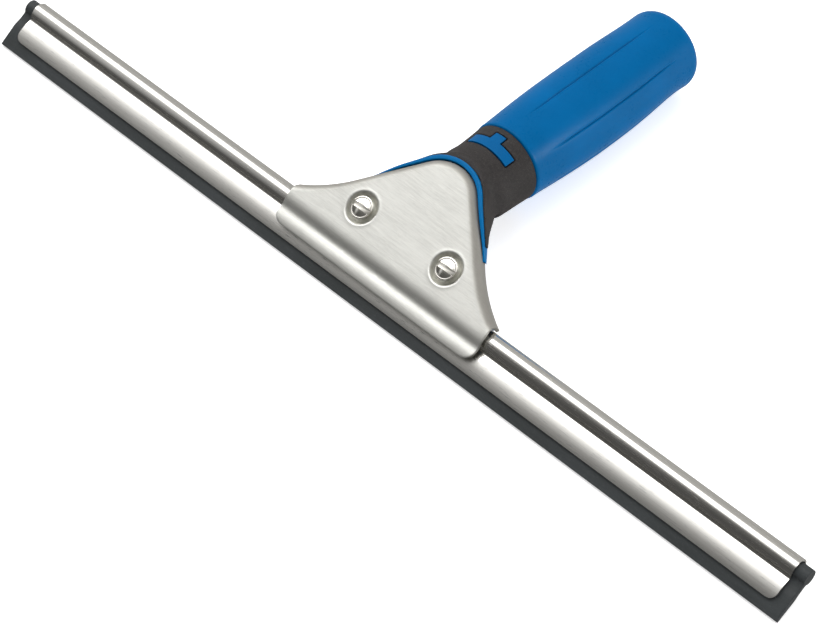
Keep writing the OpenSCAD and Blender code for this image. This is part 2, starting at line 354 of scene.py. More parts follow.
def mat_plate(name, lo, hi, rough):
    m = Mat(name, Metallic=1.0)
    warp = m.noise(m.scaled(30, 30, 30), 1.0, 2, 0.5)
    streak = m.noise(m.scaled(110, 1500, 1500), 1.0, 5, 0.7, 0.25)
    fine = m.noise(m.scaled(700, 4200, 4200), 1.0, 4, 0.7)
    cloud = m.noise(m.scaled(70, 120, 120), 1.0, 4, 0.6)
    roll = m.attr("roll")              # 1 on the stamped roll and wall and on the teeth, 0 on the face; a painted shade mask
    c = m.mix(m.rng(streak, 0.25, 0.75), lo, hi)
    c = m.mix(m.rng(fine, 0.5, 0.8, 0, 0.30), c, tuple(v * 0.80 for v in lo))
    c = m.mix(m.rng(cloud, 0.35, 0.7, 0, 0.45), c, hi)
    # painted shade: the roll, wall and teeth are darkened in base colour to stand for the darker reflections they take;
    # the same mask also raises roughness
    c = m.mix(m.math("MULTIPLY", roll, 0.75), c, tuple(v * k for v, k in zip(lo, (0.62, 0.595, 0.58))))
    m.to("Base Color", c)
    r = m.math("ADD", m.rng(cloud, 0.3, 0.7, rough + 0.04, rough - 0.02), m.rng(fine, 0.4, 0.8, 0, 0.08))
    m.to("Roughness", m.math("ADD", r, m.math("MULTIPLY", roll, 0.26)))
    h = m.math("ADD", m.math("MULTIPLY", streak, 0.5), m.math("ADD", fine, m.math("MULTIPLY", warp, 0.3)))
    m.to("Normal", m.bump(h, 0.15, 0.00005))
    return m.m


def mat_nickel(name, lo, hi, rough):
    m = Mat(name, Metallic=1.0)
    n1 = m.noise(m.scaled(5200, 5200, 5200), 1.0, 3, 0.6)
    n2 = m.noise(m.scaled(420, 420, 420), 1.0, 3, 0.6)
    m.to("Base Color", m.mix(m.rng(n2, 0.3, 0.7), lo, hi))
    m.to("Roughness", m.rng(n2, 0.3, 0.75, rough, rough + 0.08))
    m.to("Normal", m.bump(n1, 0.05, 0.00001))
    return m.m


def mat_plastic(name, lo, hi, rough, grain=2400, depth=0.10, **kw):
    m = Mat(name, **kw)
    n1 = m.noise(m.scaled(grain, grain, grain), 1.0, 4, 0.62)
    n2 = m.noise(m.scaled(55, 55, 55), 1.0, 3, 0.5)
    c = m.mix(m.rng(n2, 0.3, 0.7), lo, hi)
    c = m.mix(m.rng(n1, 0.35, 0.75, 0, 0.18), c, tuple(min(1, v * 1.35 + 0.01) for v in hi))
    m.to("Base Color", c)
    m.to("Roughness", m.math("ADD", m.rng(n2, 0.3, 0.7, rough, rough + 0.06), m.rng(n1, 0.4, 0.7, 0, 0.07)))
    m.to("Normal", m.bump(n1, depth, 0.00010))
    return m.m


RUBBER = mat_rubber()
CHANNEL = mat_channel()
PLATE = mat_plate("steel_satin", srgb(214, 214, 209), srgb(246, 246, 241), 0.46)
REAR = mat_plate("steel_satin_rear", srgb(205, 205, 202), srgb(228, 228, 226), 0.36)
NICKEL = mat_nickel("nickel_bright", srgb(232, 229, 220), srgb(250, 248, 242), 0.10)
NUT = mat_nickel("nut_steel", srgb(196, 195, 190), srgb(222, 221, 216), 0.26)
CORE = mat_plastic("core_blue", srgb(0, 98, 158), srgb(0, 106, 166), 0.30, depth=0.06, **{"Specular IOR Level": 0.10})
INLAY = mat_plastic("inlay_blue", srgb(0, 86, 142), srgb(0, 94, 152), 0.32, depth=0.06, **{"Specular IOR Level": 0.08})
def mat_neck():
    m = Mat("overmould_grey", Roughness=0.6)
    n1 = m.noise(m.scaled(2300, 2300, 2300), 1.0, 4, 0.7)
    n2 = m.noise(m.scaled(900, 900, 900), 1.0, 3, 0.6)
    dots = m.voronoi(m.scaled(1500, 1500, 1500))
    c = m.mix(m.rng(n2, 0.3, 0.7), srgb(38, 36, 36), srgb(48, 45, 45))
    c = m.mix(m.rng(n1, 0.5, 0.72, 0, 0.55), c, srgb(84, 80, 77))
    c = m.mix(m.rng(dots, 0.16, 0.05, 0, 0.6), c, srgb(30, 28, 28))
    m.to("Base Color", c)
    m.to("Roughness", m.rng(n1, 0.3, 0.7, 0.5, 0.7))
    m.b.inputs["Specular IOR Level"].default_value = 0.3
    m.to("Normal", m.bump(m.math("ADD", n1, m.rng(dots, 0.05, 0.3)), 0.55, 0.00012))
    return m.m


NECK = mat_neck()
def mat_grip():
    m = Mat("grip_blue", Roughness=0.4)
    n1 = m.noise(m.scaled(3400, 3400, 3400), 1.0, 4, 0.62)
    n2 = m.noise(m.scaled(55, 55, 55), 1.0, 3, 0.5)
    n3 = m.noise(m.scaled(700, 700, 700), 1.0, 5, 0.75)
    c = m.mix(m.rng(n2, 0.3, 0.7), srgb(0, 91, 147), srgb(0, 98, 158))
    c = m.mix(m.rng(n3, 0.5, 0.75, 0, 0.3), c, srgb(0, 102, 163))
    m.to("Base Color", c)
    m.to("Roughness", m.math("ADD", m.rng(n2, 0.3, 0.7, 0.25, 0.29), m.rng(n3, 0.35, 0.7, 0, 0.07)))
    m.b.inputs["Specular IOR Level"].default_value = 0.05
    m.b.inputs["Sheen Weight"].default_value = 0.04
    m.b.inputs["Sheen Roughness"].default_value = 0.22
    m.to("Normal", m.bump(n1, 0.2, 0.00010))
    return m.m


GRIP = mat_grip()
CORE_IN = mat_plastic("socket_blue", srgb(0, 84, 146), srgb(0, 94, 160), 0.42, depth=0.08, **{"Specular IOR Level": 0.15})

# ------------------------------------------------------------------ camera, in the blade frame
CAM_R = Matrix(((0.72392282, 0.60356579, -0.33413185), (0.53513346, -0.79695119, -0.28018027), (-0.435394, 0.02402376, -0.8999194)))
cam_data = bpy.data.cameras.new("camera")
cam = bpy.data.objects.new("camera", cam_data)
bpy.context.scene.collection.objects.link(cam)
axes = Matrix((CAM_R[0], -Vector(CAM_R[1]), -Vector(CAM_R[2]))).transposed()
cam.matrix_world = Matrix.Translation(wv((448.67, -14.47, 896.82))) @ (ROT @ axes).to_4x4()
cam_data.sensor_fit = "HORIZONTAL"
cam_data.sensor_width = 36.0
cam_data.lens = 3000 / 817 * 36
cam_data.clip_start = 0.05
cam_data.clip_end = 30
bpy.context.scene.camera = cam

# ------------------------------------------------------------------ clamp outline
SH = 42.77 * DEG
NX, NY = math.cos(SH), math.sin(SH)
APC = np.array([0, 43.6])
APR = 15.1
HOR = 60.8
RUN = 25.6
HOC = APC + (APR + HOR) * np.array([NX, NY]) + RUN * np.array([NY, -NX])


def hollow_y(d, xe):
    return HOC[1] - math.sqrt((HOR - d) ** 2 - (HOC[0] - xe) ** 2)


def upper_outline(d, xe, step=0.6):
    """Right half of the upper outline, offset d outward, from (xe, y) up to the apex."""
    pts = []
    a0 = math.atan2(hollow_y(d, xe) - HOC[1], xe - HOC[0])
    a1 = SH - math.pi
    if a0 > 0:
        a0 -= 2 * math.pi
    n = max(6, int(abs(a1 - a0) * (HOR - d) / step))
    for i in range(n + 1):
        a = a0 + (a1 - a0) * i / n
        pts.append(HOC + (HOR - d) * np.array([math.cos(a), math.sin(a)]))
    lo = pts[-1]
    hi = APC + (APR + d) * np.array([NX, NY])
    k = max(2, int(np.linalg.norm(hi - lo) / step))
    for i in range(1, k):
        pts.append(lo + (hi - lo) * i / k)
    n = max(8, int((math.pi / 2 - SH) * (APR + d) / step))
    for i in range(n + 1):
        a = SH + (math.pi / 2 - SH) * i / n
        pts.append(APC + (APR + d) * np.array([math.cos(a), math.sin(a)]))
    return np.array(pts)


def inside(x, y):
    """Distance inside the upper outline (negative outside), for arrays."""
    x = np.abs(x)
    px, py = x - APC[0], y - APC[1]
    t = px * NY - py * NX
    d = APR - np.hypot(px, py)
    line = APR - (px * NX + py * NY)
    hol = np.hypot(x - HOC[0], y - HOC[1]) - HOR
    d = np.where(t > 0, line, d)
    return np.where(t > RUN, hol, d)


def cdt(loops, points, lines, holes):
    """Constrained triangulation of the area inside loops[0] and outside the hole circles."""
    verts, edges = [], []
    for lp in loops:
        b = len(verts)
        verts += [Vector((float(p[0]), float(p[1]))) for p in lp]
        edges += [(b + i, b + (i + 1) % len(lp)) for i in range(len(lp))]
    for ln in lines:
        b = len(verts)
        verts += [Vector((float(p[0]), float(p[1]))) for p in ln]
        edges += [(b + i, b + i + 1) for i in range(len(ln) - 1)]
    verts += [Vector((float(p[0]), float(p[1]))) for p in points]
    v, _, f, _, _, _ = delaunay_2d_cdt(verts, edges, [], 0, 1e-4)
    v = np.array([tuple(p) for p in v])
    f = np.array([t for t in f if len(t) == 3])
    c = v[f].mean(1)
    poly = np.array(loops[0])
    keep = in_poly(c, poly)
    for cx, cy, r in holes:
        keep &= np.hypot(c[:, 0] - cx, c[:, 1] - cy) > r * 0.9995
    return v, f[keep]


def in_poly(p, poly):
    x, y = p[:, 0], p[:, 1]
    r = np.zeros(len(p), bool)
    n = len(poly)
    for i in range(n):
        x0, y0 = poly[i]
        x1, y1 = poly[(i + 1) % n]
        c = (y0 > y) != (y1 > y)
        with np.errstate(divide="ignore", invalid="ignore"):
            r ^= c & (x < (x1 - x0) * (y - y0) / (y1 - y0 + 1e-30) + x0)
    return r


def circle_pts(cx, cy, r, n=56):
    a = np.arange(n) * 2 * math.pi / n
    return np.stack([cx + r * np.cos(a), cy + r * np.sin(a)], 1)


def smoothstep(a, b, v):
    t = np.clip((v - a) / (b - a), 0, 1)
    return t * t * (3 - 2 * t)


# ------------------------------------------------------------------ front plate
XE, FOOT = 45.3, 7.5
SX, SY = 19.4, 28.1
ROLL = 3.0
FACE = 6.5
PY = np.array([7.5, 8.0, 8.8, 9.6, 10.6, 11.4, 12.2, 12.8, 13.3, 14.0, 14.8, 15.6, 16.4, 17.3, 18.4, 20, 70])
PZ = np.array([5.12, 5.28, 5.42, 5.47, 5.46, 5.38, 5.26, 5.20, 5.24, 5.48, 5.86, 6.16, 6.34, 6.45, 6.5, 6.5, 6.5])


def profile_z(y):
    k = 9
    o = np.linspace(-0.6, 0.6, k)
    w = 1 - (o / 0.75) ** 2
    return sum(wi * np.interp(y + oi, PY, PZ, left=5.1) for wi, oi in zip(w, o)) / w.sum()


def dish_z(r):
    """Drop of the screw dish below the face: flat floor, cone, rounded edge, slightly raised lip."""
    o = np.linspace(-0.28, 0.28, 9)
    cone = sum(np.clip((r + oi - 4.22) / 1.62, 0, 1) for oi in o) / len(o)
    return 2.40 * (1 - cone) - 0.06 * np.exp(-((r - 6.5) / 0.42) ** 2)


def plate_z(x, y):
    d = inside(x, y)
    dd = np.clip(ROLL - d, 0, ROLL)
    roll = ROLL - np.sqrt(np.maximum(0, ROLL ** 2 - dd ** 2))
    z = profile_z(y) - roll
    for s in (-1, 1):
        z = z - dish_z(np.hypot(x - s * SX, y - SY)) * np.clip((z - 3.9) / 2.4, 0, 1) ** 0
    return z


def sheet_plate(name, boundary, rings, lines, pts, holes, zfun, thick, mat, wall_pts=None, wall_z=None, out=1, bev=0.18):
    loops = [boundary] + rings
    v, f = cdt(loops, pts, lines, holes)
    z = zfun(v[:, 0], v[:, 1])
    V = [np.array([p[0], p[1], zz]) for p, zz in zip(v, z)]
    F = [tuple(t) for t in f]
    if wall_pts is not None:
        # the vertical wall below the rolled edge
        idx = []
        for p in wall_pts:
            k = int(np.argmin((v[:, 0] - p[0]) ** 2 + (v[:, 1] - p[1]) ** 2))
            if not idx or idx[-1] != k:
                idx.append(k)
        rows = [idx]
        for frac in (0.33, 0.66, 1.0):
            row = []
            for k in idx:
                q = V[k].copy()
                q[2] = q[2] + (wall_z - q[2]) * frac
                row.append(len(V))
                V.append(q)
            rows.append(row)
        for r0, r1 in zip(rows[:-1], rows[1:]):
            for i in range(len(idx) - 1):
                F.append((r0[i], r0[i + 1], r1[i + 1], r1[i]))
    o = new_obj(name, np.array(V), F, mat, 180)
    # normals outward, away from the blade plane
    bm = bmesh.new()
    bm.from_mesh(o.data)
    bmesh.ops.recalc_face_normals(bm, faces=bm.faces)
    up = ROT @ Vector((0, 0, out))
    ref = max(bm.faces, key=lambda q: abs(q.normal.dot(up)) * q.calc_area())
    if ref.normal.dot(up) < 0:
        bmesh.ops.reverse_faces(bm, faces=bm.faces)
    bm.to_mesh(o.data)
    bm.free()
    m = o.modifiers.new("solid", "SOLIDIFY")
    m.thickness = thick / 1000
    m.offset = -1
    m.use_even_offset = True
    m.use_quality_normals = True
    apply_mods(o, 50)
    return bevel(o, bev, 2, 55, 60)


def front_plate():
    up = upper_outline(0, XE, 0.5)
    right_low = [(XE - 4 + 4 * math.cos(a), FOOT + 4 + 4 * math.sin(a)) for a in np.linspace(-math.pi / 2, 0, 12)]
    y1 = up[0][1]
    side = [(XE, y) for y in np.linspace(FOOT + 4, y1, 16)[1:-1]]
    half = right_low + side + [tuple(p) for p in up]
    left = [(-p[0], p[1]) for p in reversed(half[:-1])]
    foot = [(x, FOOT) for x in np.linspace(-(XE - 4), XE - 4, 70)[1:-1]]
    boundary = half + left + foot
    rings = []
    for s in (-1, 1):
        for r, n in ((2.6, 40), (3.6, 40), (4.5, 56), (4.75, 56), (5.0, 56), (5.25, 56), (5.5, 56), (5.75, 56), (6.0, 56), (6.25, 56), (6.5, 56), (6.75, 56), (7.1, 56), (7.8, 48)):
            rings.append(circle_pts(s * SX, SY, r, n))
    lines = []
    for d in (0.12, 0.35, 0.65, 1.0, 1.4, 1.8, 2.2, 2.6, 2.95, 3.4):
        h = upper_outline(-d, XE, 0.62)
        h = h[(h[:, 0] <= XE - 0.001)]
        full = np.concatenate([h, (h[:-1] * [-1, 1])[::-1]])
        lines.append(full)
    pts = []
    ys = list(np.arange(FOOT + 0.5, 18.6, 0.5)) + list(np.arange(19.4, 56, 1.3))
    for j, y in enumerate(ys):
        step = 1.0 if y < 18.7 else 1.3
        for i, x in enumerate(np.arange(-44.8 + (j % 2) * step / 2, 44.9, step)):
            d = inside(x, y)
            if d < 3.8 or (y < FOOT + 4 and abs(x) > XE - 4 and math.hypot(abs(x) - XE + 4, y - FOOT - 4) > 3.6):
                continue
            if min(math.hypot(x - SX, y - SY), math.hypot(x + SX, y - SY)) < 8.4:
                continue
            pts.append((x, y))
    wall = np.concatenate([up, (up[:-1] * [-1, 1])[::-1]])
    o = sheet_plate("front_plate", boundary, rings, lines, pts, [(SX, SY, 2.6), (-SX, SY, 2.6)],
                    plate_z, 1.2, PLATE, wall, -0.3)
    teeth = []
    for i in range(6):
        x = (i - 2.5) * 13
        teeth.append(bevel(box_obj("tooth_%d" % i, (x - 3, FOOT + 0.15, 2.8), (x + 3, FOOT + 1.35, 4.6), PLATE), 0.2, 2))
    # painted shade mask: the roll attribute is 1 on the rolled edge and wall (fading in above y 17 to 22) and on every
    # tooth; steel_satin darkens these in base colour as painted shade and raises their roughness
    for q in [o] + teeth:
        co = (np.array([v.co for v in q.data.vertices]) - OFF) * 1000
        y = co[:, 1] * CT + co[:, 2] * ST
        edge = 1 - smoothstep(1.3, 3.7, inside(co[:, 0], y))
        attribute(q, "roll", edge * smoothstep(17, 22, y) if q is o else y * 0 + 1)
    return join("front_plate", [o] + teeth)


def box_obj(name, lo, hi, mat):
    v = [(x, y, z) for x in (lo[0], hi[0]) for y in (lo[1], hi[1]) for z in (lo[2], hi[2])]
    f = [(0, 1, 3, 2), (4, 6, 7, 5), (0, 4, 5, 1), (2, 3, 7, 6), (0, 2, 6, 4), (1, 5, 7, 3)]
    return new_obj(name, v, f, mat)


# ------------------------------------------------------------------ rear plate
def rear_plate():
    RH = 42.0
    path_y = np.array([7.5, 8.2, 16.5, 18.1, 19.1, 20.1, 21.2, 37])
    path_z = np.array([-5.3, -5.3, -5.3, -5.3, -5.9, -6.5, -6.5, -6.5])

    def z(x, y):
        o = np.linspace(-0.5, 0.5, 7)
        return sum(np.interp(y + i, path_y, path_z) for i in o) / 7

    TOP = 36.9
    h = upper_outline(-3.0, RH, 0.8)
    h = h[h[:, 1] < TOP]
    xt = np.interp(TOP, *zip(*[(p[1], p[0]) for p in upper_outline(-3.0, RH, 0.2)]))
    right_low = [(RH - 4 + 4 * math.cos(a), FOOT + 4 + 4 * math.sin(a)) for a in np.linspace(-math.pi / 2, 0, 10)]
    side = [(RH, y) for y in np.linspace(FOOT + 4, h[0][1], 8)[1:-1]] if h[0][1] > FOOT + 5 else []
    half = right_low + side + [tuple(p) for p in h] + [(xt, TOP)]
    top = [(x, TOP) for x in np.linspace(xt, -xt, 40)[1:-1]]
    left = [(-p[0], p[1]) for p in reversed(half)]
    foot = [(x, FOOT) for x in np.linspace(-(RH - 4), RH - 4, 50)[1:-1]]
    boundary = half + top + left + foot
    rings = [circle_pts(s * SX, SY, r, 40) for s in (-1, 1) for r in (2.65, 3.4, 5.2)]
    pts = []
    poly = np.array(boundary)
    for j, y in enumerate(list(np.arange(8.2, 22.5, 0.6)) + list(np.arange(23.5, 36.5, 1.5))):
        for x in np.arange(-41 + (j % 2) * 0.8, 41.5, 1.6):
            if min(math.hypot(x - SX, y - SY), math.hypot(x + SX, y - SY)) < 5.9:
                continue
            q = np.array([[x, y]])
            if in_poly(q, poly)[0] and np.min(np.hypot(poly[:, 0] - x, poly[:, 1] - y)) > 0.5:
                pts.append((x, y))
    o = sheet_plate("rear_plate", boundary, rings, [], pts, [(SX, SY, 2.65), (-SX, SY, 2.65)], z, 1.2, REAR, out=-1)
    # turned-in lip along the foot, pressing on the skirt
    lip = bevel(box_obj("rear_lip", (-38.2, FOOT + 0.05, -4.3), (38.2, FOOT + 1.15, -2.82), REAR), 0.25, 3)
    return join("rear_plate", [o, lip])


# ------------------------------------------------------------------ rubber and channel
def rubber():
    prof = []
    # right-hand side from the lip up, then round the bead, then mirrored
    side = [(0.0, 0.80), (0.10, 0.92), (1.2, 1.0), (4, 1.22), (6.2, 1.42), (8.3, 1.55), (9.2, 1.50), (10.2, 1.26), (11.2, 1.13), (12.4, 1.08), (13.6, 1.10), (14.1, 1.2)]
    bead = [(17 + 2.9 * math.cos(a), 2.9 * math.sin(a)) for a in np.linspace(154 * DEG, 0, 22)]
    half = side + bead
    prof = half + [(y, -z) for y, z in reversed(half[:-1])]
    prof = np.array(prof)
    L = 359 / 2
    xs = np.concatenate([[-L, -L + 0.12, -L + 0.6], np.linspace(-L + 3, L - 3, 90), [L - 0.6, L - 0.12, L]])
    n = len(prof)
    V = []
    cen = np.array([9.0, 0])
    for x in xs:
        k = 1.0
        if abs(x) > L - 0.05:
            k = 0.12
        q = prof.copy()
        if k < 1:
            # tiny softening of the cut end
            nrm = np.gradient(prof, axis=0)
            nn = np.stack([nrm[:, 1], -nrm[:, 0]], 1)
            nn /= np.linalg.norm(nn, axis=1)[:, None] + 1e-9
            q = prof + nn * 0.09 * (1 if ((prof + nn * 0.1 - cen) ** 2).sum() < ((prof - cen) ** 2).sum() else -1)
        V += [(x, p[0], p[1]) for p in q]
    F = grid_faces(len(xs), n, wrap_m=True)
    F += [tuple(range(n)), tuple((len(xs) - 1) * n + i for i in range(n))]
    return new_obj("rubber_strip", V, F, RUBBER, 38)


def channel():
    # outer path of one half: skirt edge -> crease -> tube top; second half mirrored in z
    sheet = 0.7
    sc, sr = np.array([8.3, -11.65]), 14.3
    cc, cr = np.array([13.0354, 2.7938]), 0.9
    tc, tr = np.array([17.0, 0.0]), 3.95
    a_edge = math.acos((4.2 - sc[0]) / sr)
    a_ts = math.atan2(cc[1] - sc[1], cc[0] - sc[0])
    outer, inner = [], []
    for a in np.linspace(a_edge, a_ts, 26):
        u = np.array([math.cos(a), math.sin(a)])
        outer.append(sc + sr * u)
        inner.append(sc + (sr - sheet) * u)
    b0 = math.atan2(sc[1] - cc[1], sc[0] - cc[0])
    b1 = math.atan2(tc[1] - cc[1], tc[0] - cc[0])
    for b in np.linspace(b0, b1, 9)[1:]:
        u = np.array([math.cos(b), math.sin(b)])
        outer.append(cc + cr * u)
        inner.append(cc + (cr + sheet) * u)
    a0 = math.atan2(cc[1] - tc[1], cc[0] - tc[0])
    for a in np.linspace(a0, 0, 40)[1:]:
        u = np.array([math.cos(a), math.sin(a)])
        outer.append(tc + tr * u)
        inner.append(tc + (tr - sheet) * u)
    outer, inner = np.array(outer), np.array(inner)
    mirror = lambda h: np.concatenate([h, (h[:-1] * [1, -1])[::-1]])
    O, I = mirror(outer), mirror(inner)
    # rounded edge: the ends of the path get an in-between ring so the sheet edge is soft
    n = len(O)
    L = 350 / 2
    us = np.concatenate([[-1], -1 + np.array([0.0006, 0.002, 0.005, 0.009, 0.014, 0.02]), np.linspace(-0.97, 0.97, 60), 1 - np.array([0.02, 0.014, 0.009, 0.005, 0.002, 0.0006]), [1]])

    def xend(y):
        q = np.clip(7.2 - y, 0, 3.0)
        return L - (3.0 - np.sqrt(np.maximum(0, 9.0 - q * q)))

    V, F = [], []
    for P in (O, I):
        for u in us:
            for k in range(n):
                V.append((u * xend(O[k][0]), P[k][0], P[k][1]))
    N = len(us) * n
    F += grid_faces(len(us), n)
    F += [tuple(reversed(f)) for f in grid_faces(len(us), n, base=N)]
    for i in range(len(us) - 1):
        for k in (0, n - 1):
            F.append((i * n + k, (i + 1) * n + k, N + (i + 1) * n + k, N + i * n + k))
    for k in range(n - 1):
        for i in (0, len(us) - 1):
            F.append((i * n + k, i * n + k + 1, N + i * n + k + 1, N + i * n + k))
    o = new_obj("channel_sheet", V, F, CHANNEL, 50)
    bevel(o, 0.16, 3, 50, 60)
    co = np.array([v.co for v in o.data.vertices]) - OFF
    y = co[:, 1] * CT + co[:, 2] * ST
    attribute(o, "skirt", 1 - smoothstep(9.0, 11.5, y * 1000))
    return o


# ------------------------------------------------------------------ screws and nuts
def at_screw(s):
    def fn(r, phi, z):
        r, phi, z = np.broadcast_arrays(np.asarray(r, float), np.asarray(phi, float), np.asarray(z, float))
        return np.stack([s * SX + r * np.cos(phi), SY + r * np.sin(phi), z], -1)
    return fn


def screw(s, name):
    """Slotted screw: collar, 45 degree flare to the rim, domed top."""
    fn = at_screw(s)
    R = 4.08
    side = [(0.0, 4.15), (3.0, 4.15), (3.0, 5.72), (R, 6.8), (R, 7.0), (3.66, 7.06), (3.32, 7.0)]
    side = rounded(side, [0, 0.15, 0.1, 0.12, 0.24, 0.3, 0], 6).tolist()
    # raised centre, steeper toward its foot
    top = [(r, 7.06 + 0.52 * (1 - (r / 3.12) ** 2.6)) for r in np.linspace(3.12, 0.0, 18)]
    h = lathe(name, side + top, NICKEL, fn, 128)
    slot = box_obj("slot", (s * SX - 6, SY - 0.85, 6.12), (s * SX + 6, SY + 0.85, 9), NICKEL)
    boolean(h, slot)
    bevel(h, 0.07, 3, 50, 45)
    # shank with a rolled thread, pitch 0.8
    zs = np.arange(-10.55, 4.45, 0.09)
    na = 40
    phi = np.arange(na) * 2 * math.pi / na
    zz, pp = np.meshgrid(zs, phi, indexing="ij")
    t = (zz / 0.8 - pp / (2 * math.pi)) % 1.0
    tri = 1 - 2 * np.abs(t - 0.5)
    fade = smoothstep(1.2, 0.4, zz) * smoothstep(-10.5, -9.9, zz)
    rr = 2.42 - 0.34 * fade * (1 - tri)
    rr = np.where(zz < -10.2, rr - (-10.2 - zz) * 0.8, rr)
    P = fn(rr, pp, zz).reshape(-1, 3)
    F = grid_faces(len(zs), na, wrap_m=True)
    F += [tuple(range(na)), tuple((len(zs) - 1) * na + i for i in range(na))]
    sh = new_obj(name + "_shank", P, F, NICKEL, 60)
    return join(name, [h, sh])


def nut(s, name):
    fn = at_screw(s)
    n = 120
    phi = np.arange(n) * 2 * math.pi / n
    ap = 4.0
    a = (phi % (math.pi / 3)) - math.pi / 6
    R = ap / np.cos(a)
    k = math.tan(27 * DEG)
    z0, z1 = -10.3, -6.52
    rings = [(np.full(n, 2.52), z0 + 0.35), (np.full(n, 2.85), z0), (np.full(n, 3.86), z0), (R - 0.05, z0 + (R - 3.86) * k), (R, z0 + (R - 3.86) * k + 0.08), (R, z1 - (R - 3.86) * k - 0.08), (R - 0.05, z1 - (R - 3.86) * k), (np.full(n, 3.86), z1), (np.full(n, 2.85), z1), (np.full(n, 2.52), z1 - 0.35)]
    P = np.concatenate([fn(r, phi, z) for r, z in rings])
    F = grid_faces(len(rings), n, wrap_n=True, wrap_m=True)
    return new_obj(name, P, F, NUT, 28)


def rim_top(y):
    return np.interp(y, [37, 38, 41, 45, 48, 51, 60], [1.8, 2.2, 3.1, 4.1, 4.7, 4.9, 4.9])


def rim_width(y):
    return np.interp(y, [37.6, 39, 42, 46, 52, 57, 59], [0.1, 0.25, 0.75, 1.1, 1.3, 1.6, 1.7])


# ------------------------------------------------------------------ signed-distance pieces
def surface_nets(field, lo, hi, step):
    """Closed mesh of field(p) = 0 on a grid; field is negative inside."""
    n = [int(math.ceil((hi[i] - lo[i]) / step)) + 1 for i in range(3)]
    ax = [lo[i] + step * np.arange(n[i]) for i in range(3)]
    G = np.stack(np.meshgrid(*ax, indexing="ij"), -1)
    D = field(G.reshape(-1, 3)).reshape(n)
    S = D < 0
    nx, ny, nz = n
    c = np.zeros((nx - 1, ny - 1, nz - 1, 3))
    w = np.zeros((nx - 1, ny - 1, nz - 1))
    offs = [(i, j, k) for i in (0, 1) for j in (0, 1) for k in (0, 1)]

    def cut(o0, o1):
        a = D[o0[0]:nx - 1 + o0[0], o0[1]:ny - 1 + o0[1], o0[2]:nz - 1 + o0[2]]
        b = D[o1[0]:nx - 1 + o1[0], o1[1]:ny - 1 + o1[1], o1[2]:nz - 1 + o1[2]]
        m = (a < 0) != (b < 0)
        t = np.where(m, a / np.where(m, a - b, 1), 0)
        for q in range(3):
            c[..., q] += m * (o0[q] + t * (o1[q] - o0[q]))
        w[...] += m

    for o in offs:
        for q in range(3):
            if o[q] == 0:
                p = list(o)
                p[q] = 1
                cut(o, tuple(p))
    act = w > 0
    idx = -np.ones(w.shape, int)
    idx[act] = np.arange(act.sum())
    ijk = np.argwhere(act)
    P = np.array(lo) + step * (ijk + c[act] / w[act][:, None])
    F = []
    for q in range(3):
        a, b = [r for r in range(3) if r != q]
        sl0 = [slice(None)] * 3
        sl1 = [slice(None)] * 3
        sl0[q] = slice(0, n[q] - 1)
        sl1[q] = slice(1, n[q])
        e = S[tuple(sl0)] != S[tuple(sl1)]
        flip = S[tuple(sl1)]
        for i in np.argwhere(e):
            if i[a] == 0 or i[b] == 0 or i[a] >= n[a] - 1 or i[b] >= n[b] - 1:
                continue
            cells = []
            for da, db in ((-1, -1), (0, -1), (0, 0), (-1, 0)):
                k = i.copy()
                k[a] += da
                k[b] += db
                cells.append(idx[k[0], k[1], k[2]])
            if flip[tuple(i)] ^ (q == 1):
                cells.reverse()
            F.append(cells)
    # pull the vertices onto the surface
    for _ in range(4):
        e = 0.02
        d = field(P)
        g = np.stack([field(P + np.eye(3)[q] * e) - field(P - np.eye(3)[q] * e) for q in range(3)], 1) / (2 * e)
        l = np.linalg.norm(g, axis=1)
        g /= np.maximum(l, 0.2)[:, None]
        P = P - np.clip(d / np.maximum(l, 0.35), -step * 0.35, step * 0.35)[:, None] * g * 0.9
    return P, F


def smin(a, b, k):
    h = np.clip(0.5 + 0.5 * (b - a) / k, 0, 1)
    return b * (1 - h) + a * h - k * h * (1 - h)


def smax(a, b, k):
    return -smin(-a, -b, k)


def axis_coords(p):
    q = p - AX_O
    s = q @ AX_H
    m = q @ AX_M
    x = q[:, 0]
    return s, np.hypot(m, x), np.arctan2(x, m)


def inlay_poly():
    """T-shaped inlay outline as (phi in degrees, s)."""
    return [(-39, -6.4), (-39, -10.6), (37, -10.6), (37, -6.4), (6.3, -6.4), (6.3, -3.1), (-11.3, -3.1), (-11.3, -6.4)]


def inlay_distance(phi, s):
    """Distance outside the inlay outline on the neck surface, in mm (negative inside)."""
    u = phi / DEG * (14.0 * DEG)
    k = 14.0 * DEG
    def box2(u0, u1, s0, s1):
        dx = np.maximum(u0 * k - u, u - u1 * k)
        dy = np.maximum(s0 - s, s - s1)
        return np.where((dx > 0) & (dy > 0), np.hypot(dx, dy), np.maximum(dx, dy))
    return np.minimum(box2(-39, 37, -10.6, -6.4), box2(-11.3, 6.3, -7.5, -3.1))


